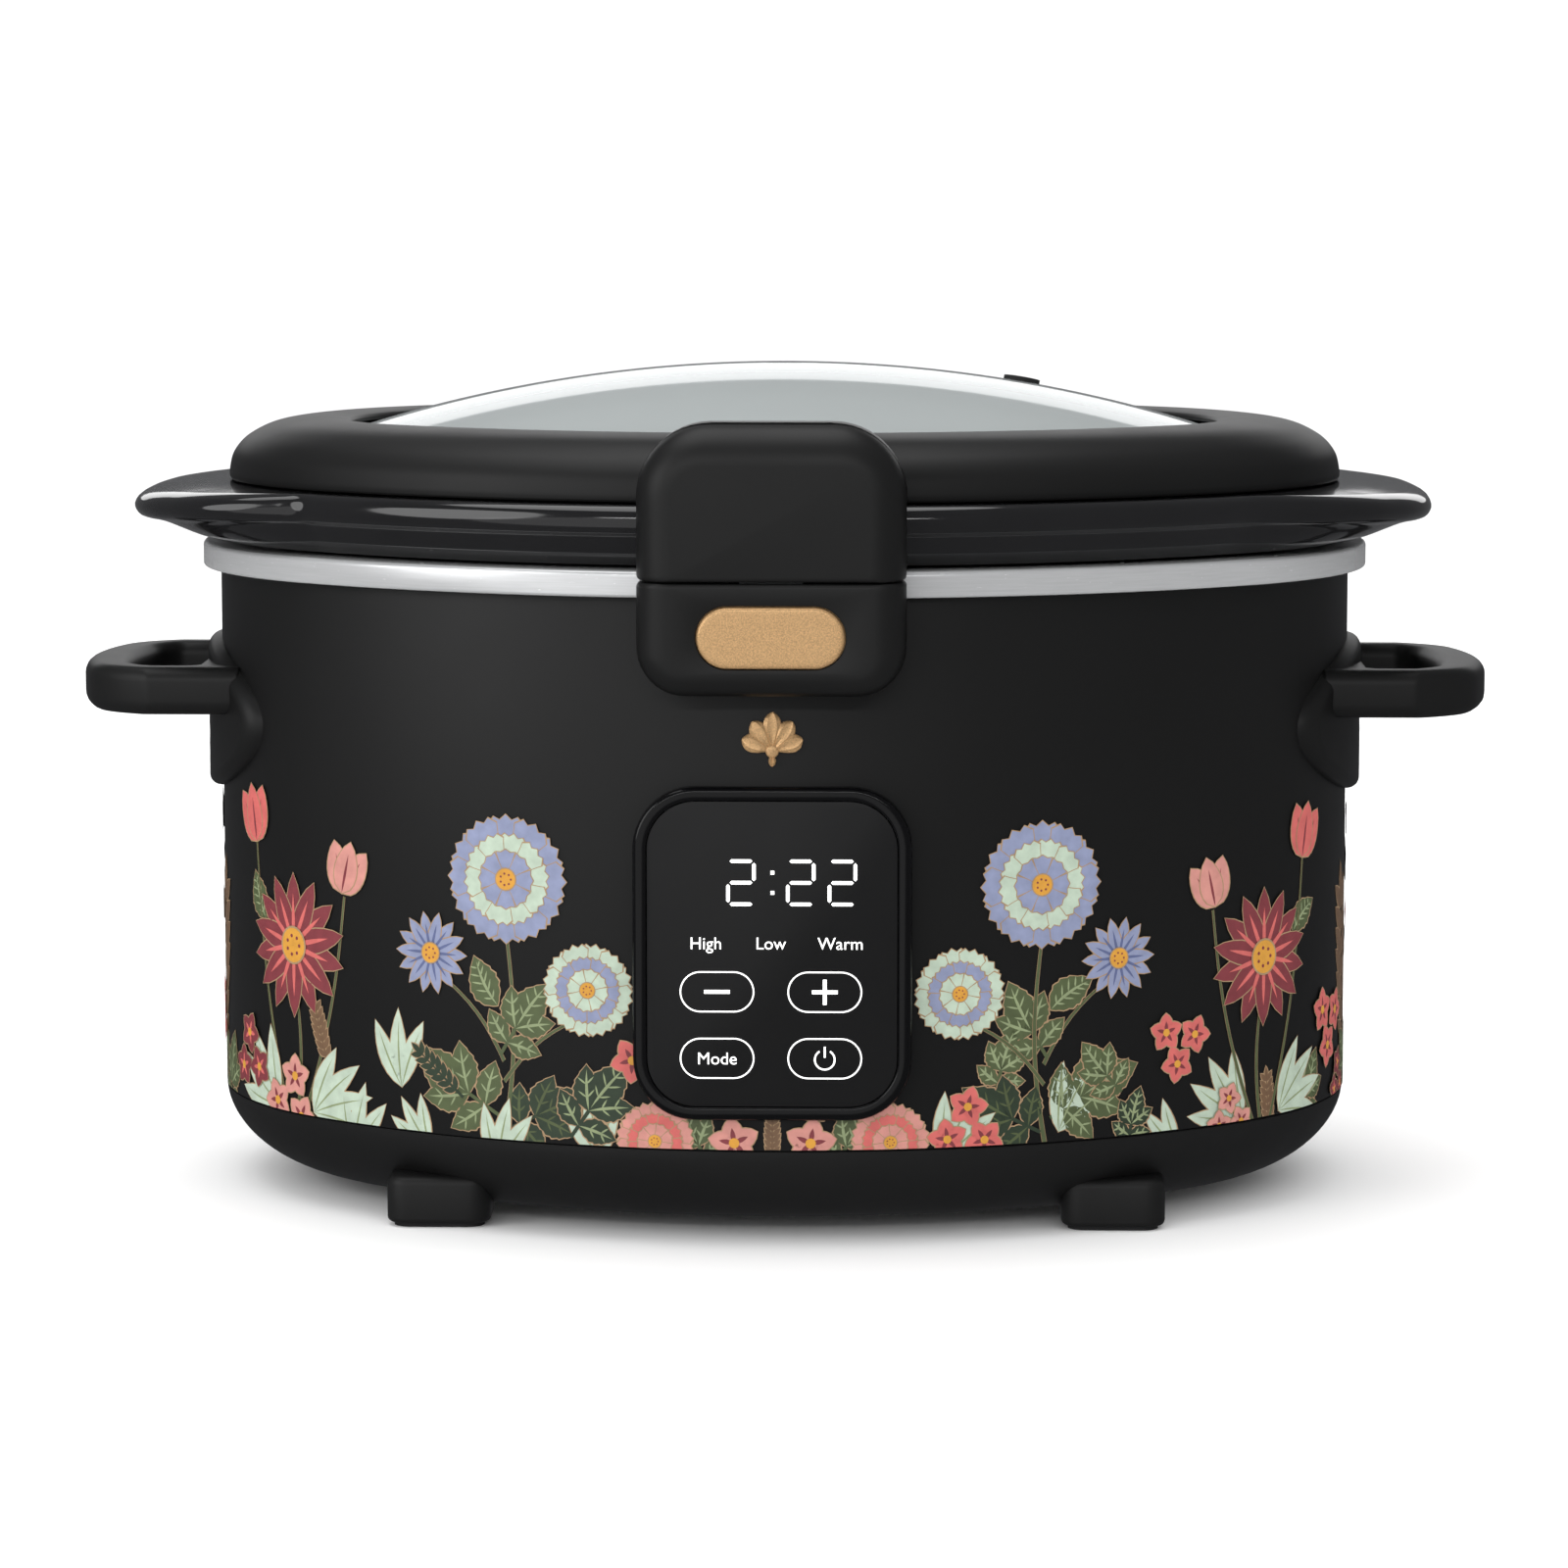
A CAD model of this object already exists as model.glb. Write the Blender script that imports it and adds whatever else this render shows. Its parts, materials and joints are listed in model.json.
import json
import random
from math import atan2, cos, degrees, dist, pi, radians, sin, sqrt, tan

import bmesh
import bpy
import numpy as np
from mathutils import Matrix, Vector


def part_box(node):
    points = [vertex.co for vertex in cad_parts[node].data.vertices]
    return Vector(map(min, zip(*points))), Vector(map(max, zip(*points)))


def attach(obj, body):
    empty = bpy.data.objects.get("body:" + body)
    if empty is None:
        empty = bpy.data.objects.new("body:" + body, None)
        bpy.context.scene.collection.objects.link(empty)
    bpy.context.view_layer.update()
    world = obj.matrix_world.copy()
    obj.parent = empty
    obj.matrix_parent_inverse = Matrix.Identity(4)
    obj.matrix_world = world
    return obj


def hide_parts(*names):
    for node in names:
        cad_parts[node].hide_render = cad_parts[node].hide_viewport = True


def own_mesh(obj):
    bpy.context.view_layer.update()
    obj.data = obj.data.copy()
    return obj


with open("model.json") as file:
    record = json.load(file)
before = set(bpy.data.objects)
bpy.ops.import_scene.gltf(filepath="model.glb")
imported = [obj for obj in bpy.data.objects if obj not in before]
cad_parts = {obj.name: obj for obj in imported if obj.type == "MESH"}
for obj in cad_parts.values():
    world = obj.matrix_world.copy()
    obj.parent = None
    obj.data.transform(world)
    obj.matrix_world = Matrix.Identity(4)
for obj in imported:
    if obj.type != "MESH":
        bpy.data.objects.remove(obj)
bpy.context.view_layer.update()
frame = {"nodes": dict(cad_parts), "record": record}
MM = 0.001


def box_mm(node):
    """Lowest and highest corner of a CAD node, in millimetres."""
    low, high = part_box(node)
    return [c / MM for c in low], [c / MM for c in high]


def middle_half(low, high):
    """Middle and half size of a box along each axis."""
    return [(a + b) / 2 for a, b in zip(low, high)], [(b - a) / 2 for a, b in zip(low, high)]


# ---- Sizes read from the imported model, in millimetres ----

WALL_LOW, WALL_HIGH = box_mm("outer_wall")
HALF_W, HALF_D = WALL_HIGH[0], WALL_HIGH[1]
SEAM = WALL_LOW[2] - 0.1
END_R = 0.8 * HALF_D
END_X = HALF_W - END_R
SIDE_R = (END_X**2 + HALF_D**2 - END_R**2) / (2 * (HALF_D - END_R))
SIDE_Y = SIDE_R - HALF_D
MEET = atan2(SIDE_Y, END_X)
RING_TOP = box_mm("trim_ring")[1][2]
RIM = box_mm("crock")[1][2]
LUG_TIP = box_mm("crock")[1][0]
LID_LOW, LID_HIGH = box_mm("lid_frame")
DOME_TOP = box_mm("lid_glass")[1][2]
HOOD_LOW, HOOD_HIGH = box_mm("lid_clasp")
LATCH_LOW, LATCH_HIGH = box_mm("latch_housing")
BUTTON_LOW, BUTTON_HIGH = box_mm("release_button")
BEZEL_LOW, BEZEL_HIGH = box_mm("control_bezel")
PANEL_Z = middle_half(BEZEL_LOW, BEZEL_HIGH)[0][2]
TOUCH_Y = box_mm("touch_panel")[0][1]
BUTTON_Z = middle_half(BUTTON_LOW, BUTTON_HIGH)[0][2]
KEY_HALF_W, KEY_HALF_H = 41.7 / 2, 17.2 / 2


# ---- Mesh helpers ----

def link(obj):
    bpy.context.scene.collection.objects.link(obj)
    return obj


def settled(name, bm):
    """A finished bmesh as an object in the scene."""
    mesh = bpy.data.meshes.new(name)
    bm.to_mesh(mesh)
    bm.free()
    return link(bpy.data.objects.new(name, mesh))


def evaluated(obj):
    """The object's mesh with its modifiers applied."""
    bpy.context.view_layer.update()
    ready = obj.evaluated_get(bpy.context.evaluated_depsgraph_get())
    return bpy.data.meshes.new_from_object(ready)


def make_mesh(name, shells, crisp=38):
    """One object from (points in mm, faces) shells. Edges sharper than crisp degrees stay crisp."""
    bm = bmesh.new()
    for points, faces in shells:
        made = [bm.verts.new([MM * c for c in p]) for p in points]
        for face in faces:
            corners = list(dict.fromkeys(face))
            if len(corners) > 2:
                bm.faces.new([made[i] for i in corners])
    bmesh.ops.remove_doubles(bm, verts=bm.verts, dist=2e-7)
    bmesh.ops.dissolve_degenerate(bm, edges=bm.edges, dist=1e-7)
    bmesh.ops.recalc_face_normals(bm, faces=bm.faces)
    for face in bm.faces:
        face.smooth = True
    for edge in bm.edges:
        if len(edge.link_faces) == 2 and edge.calc_face_angle() > radians(crisp):
            edge.smooth = False
    return settled(name, bm)


def loft(rings, closed=False):
    """Joins matching rings of points. An open loft is capped at both ends."""
    n = len(rings[0])
    pairs = [(i, i + 1) for i in range(len(rings) - 1)]
    if closed:
        pairs.append((len(rings) - 1, 0))
    faces = [(a * n + j, a * n + (j + 1) % n, b * n + (j + 1) % n, b * n + j)
             for a, b in pairs for j in range(n)]
    if not closed:
        last = (len(rings) - 1) * n
        faces += [tuple(range(n)), tuple(range(last, last + n))]
    return [p for ring in rings for p in ring], faces


def polar(x, y, r, a):
    """The point at a distance r and an angle a from (x, y)."""
    return x + r * cos(a), y + r * sin(a)


def circle(x, y, r, count):
    return [polar(x, y, r, a) for a in np.linspace(0, 2 * pi, count, False)]


def quarter(count):
    """Angles over a quarter turn."""
    return np.linspace(0, pi / 2, count)


def facing(y, outline):
    """An (x, z) outline stood up at a depth y."""
    return [(x, y, z) for x, z in outline]


def rounded(corners, closed=True, steps=6):
    """An outline through corners (x, y, radius), with each corner turned into an arc."""
    line = []
    count = len(corners)
    for i, (x, y, r) in enumerate(corners):
        if r <= 0 or (not closed and i in (0, count - 1)):
            line.append((x, y))
            continue
        here = Vector((x, y))
        back = Vector(corners[i - 1][:2]) - here
        ahead = Vector(corners[(i + 1) % count][:2]) - here
        half = back.angle(ahead) / 2
        cut = min(r / tan(half), 0.49 * min(back.length, ahead.length))
        middle = here + (back.normalized() + ahead.normalized()).normalized() * (cut / cos(half))
        first = here + back.normalized() * cut - middle
        final = here + ahead.normalized() * cut - middle
        start = atan2(first.y, first.x)
        sweep = (atan2(final.y, final.x) - start + pi) % (2 * pi) - pi
        for k in range(steps + 1):
            line.append(polar(middle.x, middle.y, first.length, start + sweep * k / steps))
    return line


def curve_through(points, steps):
    """A Catmull-Rom curve through points."""
    ends = [points[0]] + list(points) + [points[-1]]
    line = []
    for a, b, c, d in zip(ends, ends[1:], ends[2:], ends[3:]):
        for k in range(steps):
            t = k / steps
            line.append(tuple(0.5 * (2 * q + (r - p) * t + (2 * p - 5 * q + 4 * r - s) * t * t
                                     + (3 * q - p - 3 * r + s) * t**3)
                              for p, q, r, s in zip(a, b, c, d)))
    return line + [tuple(points[-1])]


def resample(line, count):
    """count points spread evenly along a line."""
    xy = np.array(line, float)
    along = np.concatenate([[0], np.cumsum(np.linalg.norm(np.diff(xy, axis=0), axis=1))])
    at = np.linspace(0, along[-1], count)
    return list(zip(np.interp(at, along, xy[:, 0]), np.interp(at, along, xy[:, 1])))


def smoothstep(t):
    t = min(1.0, max(0.0, t))
    return t * t * (3 - 2 * t)


def mix(a, b, t):
    return a + (b - a) * t


def fillet_inset(depth, r):
    """How far a rounded edge of radius r stands back at a depth behind the front face."""
    return r - sqrt(max(r * r - (r - min(depth, r)) ** 2, 0))


def rect_ring(half_w, low, high, r_low, r_high, side=8, corner=9):
    """A rounded rectangle about x = 0, with the same count of points on each side and corner."""
    r_low, r_high = max(r_low, 0.05), max(r_high, 0.05)

    def arc(x, z, r, start):
        return [polar(x, z, r, start + a) for a in quarter(corner + 1)]

    corners = [arc(half_w - r_low, low + r_low, r_low, -pi / 2),
               arc(half_w - r_high, high - r_high, r_high, 0),
               arc(r_high - half_w, high - r_high, r_high, pi / 2),
               arc(r_low - half_w, low + r_low, r_low, pi)]
    ring = []
    for here, ahead in zip(corners, corners[1:] + corners[:1]):
        ring += here
        a, b = np.array(here[-1]), np.array(ahead[0])
        ring += [tuple(a + (b - a) * k / side) for k in range(1, side)]
    return ring


def cut(obj, cutter):
    """Takes the cutter's shape out of obj and removes the cutter."""
    modifier = obj.modifiers.new("cut", "BOOLEAN")
    modifier.object = cutter
    modifier.solver = "EXACT"
    obj.data = evaluated(obj)
    obj.modifiers.clear()
    bpy.data.objects.remove(cutter)
    return obj


def block(name, low, high):
    """A box with slightly softened upright edges, as one closed mesh."""
    (cx, cy, _), (half_w, half_d, _) = middle_half(low, high)
    ring = rect_ring(half_w, -half_d, half_d, 0.4, 0.4, 2, 4)
    return make_mesh(name, [loft([[(cx + x, cy + y, z) for x, y in ring] for z in (low[2], high[2])])])


def softened(name, node, voxel, rounds):
    """A copy of a CAD node's shape with its edges eased by remeshing and smoothing."""
    obj = link(bpy.data.objects.new(name, frame["nodes"][node].data.copy()))
    obj.data.materials.clear()
    remesh = obj.modifiers.new("remesh", "REMESH")
    remesh.mode = "VOXEL"
    remesh.voxel_size = voxel * MM
    smooth = obj.modifiers.new("smooth", "SMOOTH")
    smooth.factor = 0.5
    smooth.iterations = rounds
    obj.data = evaluated(obj)
    obj.modifiers.clear()
    obj.data.shade_smooth()
    return obj


# ---- The oval that the body, rim and lid follow ----

def oval_stations(ends=72, sides=90):
    """Arc centre, radius and angle at each point round the oval, anticlockwise from +X."""
    quarters = [(END_X, 0, END_R, -MEET, MEET, ends),
                (0, -SIDE_Y, SIDE_R, MEET, pi - MEET, sides),
                (-END_X, 0, END_R, pi - MEET, pi + MEET, ends),
                (0, SIDE_Y, SIDE_R, pi + MEET, 2 * pi - MEET, sides)]
    return [(x, y, r, a) for x, y, r, start, stop, n in quarters
            for a in np.linspace(start, stop, n, endpoint=False)]


STATIONS = oval_stations()


def oval_ring(u, z):
    """Points at a distance u outside the wall line and height z."""
    return [(*polar(x, y, r + u, a), z) for x, y, r, a in STATIONS]


def oval_loop(name, section):
    """A closed section of (u, z) points swept round the oval."""
    return make_mesh(name, [loft([oval_ring(u, z) for u, z in section], closed=True)])


# ---- Materials ----

def rgb(hex_code):
    """An sRGB hex colour as linear RGBA."""
    parts = [int(hex_code[i:i + 2], 16) / 255 for i in (1, 3, 5)]
    return [p / 12.92 if p <= 0.04045 else ((p + 0.055) / 1.055) ** 2.4 for p in parts] + [1.0]


def scaled(colour, k):
    return [min(1.0, c * k) for c in colour[:3]] + [1.0]


def noise(tree, scale, detail, stretch):
    """Noise over the object's own coordinates, in metres."""
    where = tree.nodes.new("ShaderNodeTexCoord")
    mapping = tree.nodes.new("ShaderNodeMapping")
    mapping.inputs["Scale"].default_value = stretch
    texture = tree.nodes.new("ShaderNodeTexNoise")
    texture.inputs["Scale"].default_value = scale
    texture.inputs["Detail"].default_value = detail
    tree.links.new(where.outputs["Object"], mapping.inputs["Vector"])
    tree.links.new(mapping.outputs["Vector"], texture.inputs["Vector"])
    return texture.outputs["Fac"]


def finish(name, colour, mottle, patch, rough, grain, depth, stretch=(1, 1, 1), **sockets):
    """A procedural surface: mottled colour, varied roughness and a fine grain depth mm deep."""
    material = bpy.data.materials.new(name)
    material.use_nodes = True
    tree = material.node_tree
    new, join = tree.nodes.new, tree.links.new
    shader = tree.nodes["Principled BSDF"]
    for socket, value in sockets.items():
        shader.inputs[socket.replace("_", " ")].default_value = value
    ramp = new("ShaderNodeValToRGB")
    for end, place, tone in zip(ramp.color_ramp.elements, (0.3, 0.7), (1 - mottle, 1 + mottle)):
        end.position, end.color = place, scaled(colour, tone)
    join(noise(tree, patch, 3.0, stretch), ramp.inputs["Fac"])
    join(ramp.outputs["Color"], shader.inputs["Base Color"])
    spread = new("ShaderNodeMapRange")
    spread.inputs["To Min"].default_value, spread.inputs["To Max"].default_value = rough
    join(noise(tree, patch * 3, 3.0, stretch), spread.inputs["Value"])
    join(spread.outputs["Result"], shader.inputs["Roughness"])
    bump = new("ShaderNodeBump")
    bump.inputs["Distance"].default_value = depth * MM
    join(noise(tree, grain, 4.0, stretch), bump.inputs["Height"])
    join(bump.outputs["Normal"], shader.inputs["Normal"])
    return material


BRUSHED = (0.03, 0.03, 1.0)
PAN_BLACK = finish("moulded_black", rgb("#161616"), 0.08, 20, (0.46, 0.56), 3800, 0.01, Specular_IOR_Level=0.4)
MATERIALS = {
    "black_plastic": finish("soft_touch_black", rgb("#141414"), 0.06, 14, (0.42, 0.5), 5200, 0.006,
                            Specular_IOR_Level=0.36),
    "rubber": finish("rubber", rgb("#1d1d1e"), 0.12, 60, (0.7, 0.85), 2200, 0.03),
    "fastener_steel": finish("zinc_steel", rgb("#9b9c9e"), 0.1, 300, (0.28, 0.42), 4000, 0.01, Metallic=1.0),
    "printed_steel": finish("painted_steel", rgb("#131313"), 0.05, 12, (0.4, 0.47), 6000, 0.004,
                            Specular_IOR_Level=0.36),
    "trim_steel": finish("brushed_steel", rgb("#e2e3e4"), 0.045, 2600, (0.2, 0.3), 5200, 0.004,
                         BRUSHED, Metallic=0.65),
    "liner_aluminium": finish("spun_aluminium", rgb("#b7b9bc"), 0.1, 900, (0.35, 0.5), 2600, 0.01,
                              BRUSHED, Metallic=1.0),
    "heater": finish("heater_wrap", rgb("#8b7a5f"), 0.2, 120, (0.6, 0.8), 900, 0.08),
    "felt": finish("felt", rgb("#cfcabd"), 0.15, 150, (0.85, 0.98), 1200, 0.25, Sheen_Weight=0.3),
    "fuse_ceramic": finish("fuse_ceramic", rgb("#d8d2c4"), 0.06, 200, (0.4, 0.55), 1500, 0.02),
    "inner_plastic": finish("inner_plastic", rgb("#3a3a3e"), 0.1, 60, (0.5, 0.65), 2600, 0.02),
    "circuit_board": finish("circuit_board", rgb("#1f5a36"), 0.3, 260, (0.3, 0.5), 1800, 0.03),
    "copper": finish("copper", rgb("#b4713d"), 0.12, 300, (0.25, 0.4), 3000, 0.02, Metallic=1.0),
    "wire": finish("wire_sleeve", rgb("#a9a395"), 0.12, 200, (0.5, 0.65), 2000, 0.04),
    "gloss_black": finish("gloss_black", rgb("#070708"), 0.05, 20, (0.1, 0.16), 900, 0.001,
                          Specular_IOR_Level=0.28, Coat_Weight=0.1, Coat_Roughness=0.05),
    "gold": finish("satin_gold", rgb("#d0a878"), 0.26, 2400, (0.3, 0.44), 3400, 0.03, Metallic=0.6),
    "stoneware": finish("black_glaze", rgb("#151516"), 0.1, 30, (0.07, 0.12), 75, 0.03,
                        Coat_Weight=0.4, Coat_Roughness=0.06),
    "glass": finish("tempered_glass", rgb("#c3c9c9"), 0.03, 9, (0.03, 0.09), 40, 0.01,
                    Transmission_Weight=0.45, IOR=1.5, Specular_IOR_Level=0.6),
}


def dress(obj, slot, body="base", replaces=(), material=None):
    """Gives a piece its record slot and material, its body and the CAD nodes it stands for."""
    obj.data.materials.clear()
    obj.data.materials.append(material or MATERIALS[slot])
    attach(obj, body)
    if replaces:
        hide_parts(*replaces)
    return obj


def return_spring():
    """The button's spring, which shortens as the button is pressed."""
    coil = link(bpy.data.objects.new("return_spring", frame["nodes"]["button_spring"].data.copy()))
    dress(coil, "fastener_steel", replaces=["button_spring"])
    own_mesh(coil)


def dress_cad_nodes():
    """Every CAD node takes the procedural material of its slot in the record."""
    for row in frame["record"]["subparts"]:
        data = frame["nodes"][row["node"]].data
        data.materials.clear()
        data.materials.append(MATERIALS[row["material_slot"]])


# ---- Base: pan, feet, wall, trim ring ----

def pan_profile(inset, low, grow, steps=26):
    """The pan's bulging side from its underside up to the seam."""
    return [(-inset * (1 - cos(t) ** (2 / 1.8)) - grow, SEAM - (SEAM - low) * sin(t) ** (2 / 1.8))
            for t in np.linspace(pi / 2, 0.02, steps)]


def base_pan():
    low = box_mm("base_pan")[0][2]
    outer = pan_profile(30, low, 0)
    inner = pan_profile(30, low + 2.5, 2.5)[::-1]
    top = [(-0.05, SEAM - 0.8), (-0.25, SEAM - 0.25), (-0.7, SEAM), (-1.4, SEAM), (-1.4, SEAM + 6.4),
           (-1.7, SEAM + 7), (-2.7, SEAM + 7), (-3, SEAM + 6.6), (-3, SEAM)]
    shell = loft([oval_ring(u, z) for u, z in outer + top + inner])
    cord_z = middle_half(*box_mm("cord_gland"))[0][2]
    back = HALF_D - 2
    steps = ((10.5, 12), (10.5, 0.8), (10.2, 0.2), (9.6, 0))
    boss = loft([facing(back - depth, circle(0, cord_z, r, 64)) for r, depth in steps])
    pan = make_mesh("pan_shell", [shell, boss])
    return dress(pan, "black_plastic", replaces=["base_pan"], material=PAN_BLACK)


def foot(node):
    low, high = box_mm(node)
    (cx, cy, _), (half_w, half_d, _) = middle_half(low, high)

    def ring(z, i):
        outline = rect_ring(half_w - i, i - half_d, half_d - i, 6 - i, 6 - i)
        return [(cx + x, cy + y, z) for x, y in outline]

    rings = [ring(low[2] + depth, fillet_inset(depth, 1.5)) for depth in (0, 0.15, 0.45, 0.9, 1.5)]
    rings += [ring(high[2] - depth, fillet_inset(depth, 2.5)) for depth in (2.5, 1.2, 0.5, 0)]
    piece = make_mesh(node + "_moulded", [loft(rings)])
    return dress(piece, "black_plastic", replaces=[node], material=PAN_BLACK)


def wall():
    low, top = SEAM + 0.15, WALL_HIGH[2]
    section = rounded([(0, low, 0.25), (0, top, 0.2), (-1.2, top, 0.2), (-1.2, low, 0.2)], steps=3)
    return dress(oval_loop("wall_shell", section), "printed_steel", replaces=["outer_wall"])


def trim_band():
    low = box_mm("trim_ring")[0][2]
    under = RING_TOP - 1
    section = rounded([(0.15, low, 0.1), (5.3, low, 0.9), (5.3, RING_TOP, 1.5), (-9, RING_TOP, 0.2),
                       (-9, under, 0.2), (4.3, under, 0.4), (4.3, low + 1, 0.3), (0.15, low + 1, 0.1)])
    return dress(oval_loop("trim_band", section), "trim_steel", replaces=["trim_ring"])


# ---- Side handles ----

def wall_x(y, u):
    """Where the end of the oval, grown by u, stands at a depth y."""
    return END_X + sqrt((END_R + u) ** 2 - y * y)


def handle_pad(side, middle):
    """The oval flange that lies on the wall, with a rounded edge."""
    half_w, half_h, proud, edge = 59, 23.5, 4.2, 3.4

    def ring(u, inset, share=1):
        oval = [((half_w - inset) * share * cos(a), (half_h - inset) * share * sin(a))
                for a in np.linspace(0, 2 * pi, 96, False)]
        return [(side * wall_x(y, u), y, middle + z) for y, z in oval]

    rings = [ring(-1.0, 0)] + [ring(proud - edge + edge * sin(a), edge * (1 - cos(a))) for a in quarter(8)]
    return loft(rings + [ring(proud, edge, share) for share in (0.8, 0.55, 0.3, 0.1)])


def handle_loop(side, low, high, tip):
    """The D-shaped grip: rounded top and bottom edges round one hand-sized opening."""
    root, edge, half = HALF_W - 10, 4.4, 48
    hole_root, hole_tip, hole_half = HALF_W + 5.5, tip - 14.5, 36

    def outer(i):
        return rect_ring(half - i, root, tip - i, 1, 18 - i)

    def inner(i):
        return rect_ring(hole_half + i, hole_root - i, hole_tip + i, 3 + i, 9 + i)

    def bowed(x, y):
        """The grip's end curves outwards, furthest at its middle."""
        return x - 5.2 * (min(abs(y), half) / 32) ** 2 * smoothstep((x - HALF_W - 12) / 22)

    turn = [(edge * (1 - cos(a)), edge * (1 - sin(a))) for a in quarter(7)]
    levels = [(outer, i, high - drop) for i, drop in turn] + [(inner, i, high - drop) for i, drop in turn[::-1]]
    levels += [(inner, i, low + rise) for i, rise in turn] + [(outer, i, low + rise) for i, rise in turn[::-1]]
    rings = [[(side * bowed(x, y), y, z) for y, x in shape(i)] for shape, i, z in levels]
    return loft(rings, closed=True)


def handle(node, side):
    low, high = box_mm(node)
    tip = max(abs(low[0]), abs(high[0]))
    pad_z = middle_half(low, high)[0][2]
    grip_z = middle_half(*box_mm("handle_screws"))[0][2]
    shells = [handle_pad(side, pad_z), handle_loop(side, grip_z - 7.25, grip_z + 7.25, tip)]
    return dress(make_mesh(node + "_moulded", shells), "black_plastic", replaces=[node])


# ---- Crock ----

LIP_ROOT = -4.5
LIP_OUT = 6.0


def lug_reach(angle):
    """How far the rim stands out at an angle round the end of the oval: wide at the blunt lug."""
    y = min(60.0, 125 * sin(abs(angle)))
    flat = (LUG_TIP - 0.0016 * y * y - END_X) / max(cos(angle), 0.3) - END_R
    return LIP_OUT + (flat - LIP_OUT) * smoothstep((52 - abs(degrees(angle))) / 38)


def lip_profile():
    """Matching (share of reach, height) points for the plain rim and for the lug."""
    def share(line, reach):
        return [((u - LIP_ROOT) / (reach - LIP_ROOT), z) for u, z in line]

    rim_under = [(LIP_ROOT, RING_TOP + 0.8), (-1.6, RING_TOP + 1.3), (1.3, RING_TOP + 3.6),
                 (2.7, RING_TOP + 6.6), (3.4, RIM - 9.2), (4.6, RIM - 8.2)]
    rim_nose = curve_through([(4.6, RIM - 8.2), (5.6, RIM - 7.3), (LIP_OUT, RIM - 5.4), (5.8, RIM - 3.2),
                              (5.0, RIM - 1.3), (3.0, RIM)], 8)
    rim_top = [(3.0, RIM), (LIP_ROOT, RIM)]
    reach = LUG_TIP - HALF_W
    lug_under = [(LIP_ROOT, RING_TOP + 0.8), (1.5, RING_TOP + 1.6), (7, RING_TOP + 3.3),
                 (12, RING_TOP + 5.4), (16.5, RING_TOP + 7.2), (20.5, RIM - 10.3)]
    lug_nose = [(20.5, RIM - 10.3), (22.9, RIM - 9.2), (reach, RIM - 6.6), (23.2, RIM - 4.0), (20.6, RIM - 2.5)]
    lug_top = [(20.6, RIM - 2.5), (12, RIM - 1.1), (4, RIM - 0.2), (LIP_ROOT, RIM)]
    rim, lug = [], []
    for plain, wide, count in ((rim_under, lug_under, 14), (rim_nose, lug_nose, 12), (rim_top, lug_top, 8)):
        plain = plain if plain is rim_nose else curve_through(plain, 8)
        rim += share(resample(plain, count), LIP_OUT)[:-1]
        lug += share(resample(curve_through(wide, 8), count), reach)[:-1]
    return rim, lug


def crock():
    def plain(line):
        return [oval_ring(u, z) for u, z in line]

    floor = 38
    under = rounded([(-60, floor, 0), (-24, floor, 12), (-18.3, RING_TOP - 10, 6), (-17.4, RING_TOP + 0.6, 0.5),
                     (LIP_ROOT - 0.4, RING_TOP + 0.8, 0)], False, 8)
    rings = plain(under)
    for (rim_s, rim_z), (lug_s, lug_z) in zip(*lip_profile()):
        ring = []
        for x, y, r, a in STATIONS:
            on_end = r == END_R
            turn = (a + pi / 2) % pi - pi / 2 if on_end else MEET + 0.2
            w = smoothstep((52 - abs(degrees(turn))) / 42) if on_end else 0.0
            reach = lug_reach(turn) if on_end else LIP_OUT
            u = LIP_ROOT + (reach - LIP_ROOT) * mix(rim_s, lug_s, w)
            ring.append((*polar(x, y, r + u, a), mix(rim_z, lug_z, w)))
        rings.append(ring)
    inside = rounded([(LIP_ROOT, RIM, 0), (-9, RIM, 1.5), (-9.6, RIM - 5.2, 1.0), (-24.6, RIM - 6, 2.4),
                      (-39.5, 66, 10), (-41, 48, 16), (-62, 48, 0)], False, 8)
    pot = make_mesh("crock_glazed", [loft(rings + plain(inside))])
    return dress(pot, "stoneware", "crock", ["crock"])


# ---- Lid: frame, glass ----

def lid_frame():
    z = LID_LOW[2]
    high = LID_HIGH[2] - z
    face = curve_through([(-3.0, 0.6), (-3.0, 2.7), (-4.1, 7.4), (-7, 11.4), (-10.9, 14.2), (-16, 16.5),
                          (-22, 17.8), (-30, high), (-36, high - 0.3), (-39.4, high - 0.9)], 5)
    edge = [(-40.3, high - 1.5), (-40.5, high - 2.1), (-40.3, high - 2.7), (-39.6, high - 2.9)]
    under = curve_through([(-33, high - 3), (-23, 15), (-13, 12), (-8, 8.4), (-5.6, 4), (-5.4, 0.5)], 4)
    foot_edge = [(-5.2, 0.1), (-4.4, 0), (-3.3, 0.1)]
    lid = oval_loop("lid_frame_moulded", [(u, z + h) for u, h in face + edge + under + foot_edge])
    return dress(lid, "black_plastic", "lid", ["lid_frame"])


def dome_radii():
    """The dome is part of a torus: a long radius across X and a short one across Y."""
    drop = DOME_TOP - (LID_HIGH[2] - 4.1)
    return [((half - 40.5) ** 2 + drop * drop) / (2 * drop) for half in (HALF_W, HALF_D)]


def dome_z(x, y, depth):
    long_r, short_r = dome_radii()
    rho = long_r - short_r + sqrt((short_r - depth) ** 2 - y * y)
    return DOME_TOP - long_r + sqrt(rho * rho - x * x)


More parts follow.
